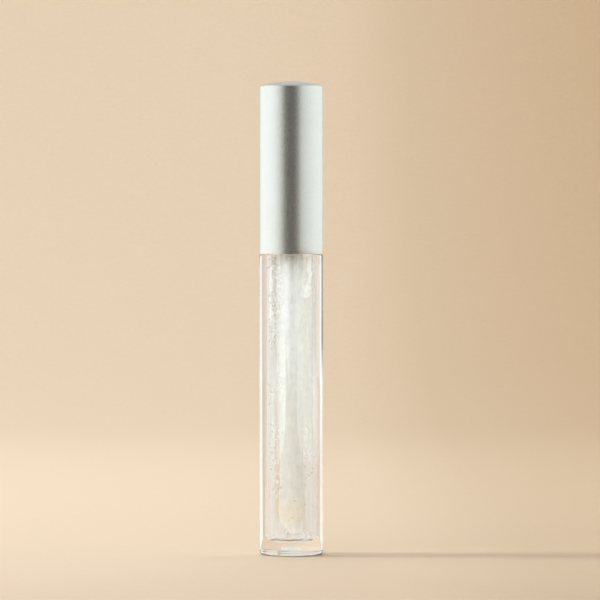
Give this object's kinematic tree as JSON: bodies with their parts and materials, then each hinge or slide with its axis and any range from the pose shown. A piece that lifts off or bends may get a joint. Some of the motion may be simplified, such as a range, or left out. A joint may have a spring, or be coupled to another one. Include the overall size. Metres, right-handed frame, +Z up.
{
  "type": "lip gloss tube",
  "caption": "Round clear tube of lip gloss with a satin silver screw cap that carries a slim rod and a slanted soft applicator tip.",
  "frame": {"origin": "centre of the base, on the surface that the tube stands on", "axes": "+Z up along the tube's axis; the applicator's slanted face looks towards -X; the front is -Y"},
  "size_m": [0.0162, 0.0162, 0.12],
  "materials": {
    "clear_plastic": "water-clear, thick-walled, polished",
    "wiper_plastic": "soft translucent white",
    "gloss_gel": "colourless thick gel with fine air bubbles",
    "washer_foam": "closed-cell foam",
    "liner_plastic": "moulded white",
    "satin_aluminium": "fine satin, anodised",
    "rod_plastic": "smooth, slightly translucent",
    "core_plastic": "soft moulded",
    "tip_fibres": "short flocked fibres, wet with gloss"
  },
  "bodies": {
    "bottle": {"bottle": "clear_plastic", "wiper": "wiper_plastic"},
    "gloss": {"gloss": "gloss_gel"},
    "seal_washer": {"seal_washer": "washer_foam"},
    "cap": {"cap_shell": "satin_aluminium", "inner_cap": "liner_plastic", "applicator_rod": "rod_plastic", "tip_core": "core_plastic", "tip_flock": "tip_fibres"}
  },
  "joints": [
    {"name": "cap_turn", "type": "hinge", "parent": "bottle", "child": "gloss", "pos_m": [0, 0, 0.0763], "axis": [0, 0, 1], "range_deg": [0, 540]},
    {"name": "cap_lift", "type": "slide", "parent": "gloss", "child": "seal_washer", "axis": [0, 0, 1], "range_m": [0, 0.1]},
    {"name": "cap_rise", "type": "slide", "parent": "seal_washer", "child": "cap", "axis": [0, 0, 1], "range_m": [0, 0.0045]}
  ],
  "couplings": [
    {"joint": "cap_rise", "follows": "cap_turn", "m_per_rad": 0.00047746}
  ]
}
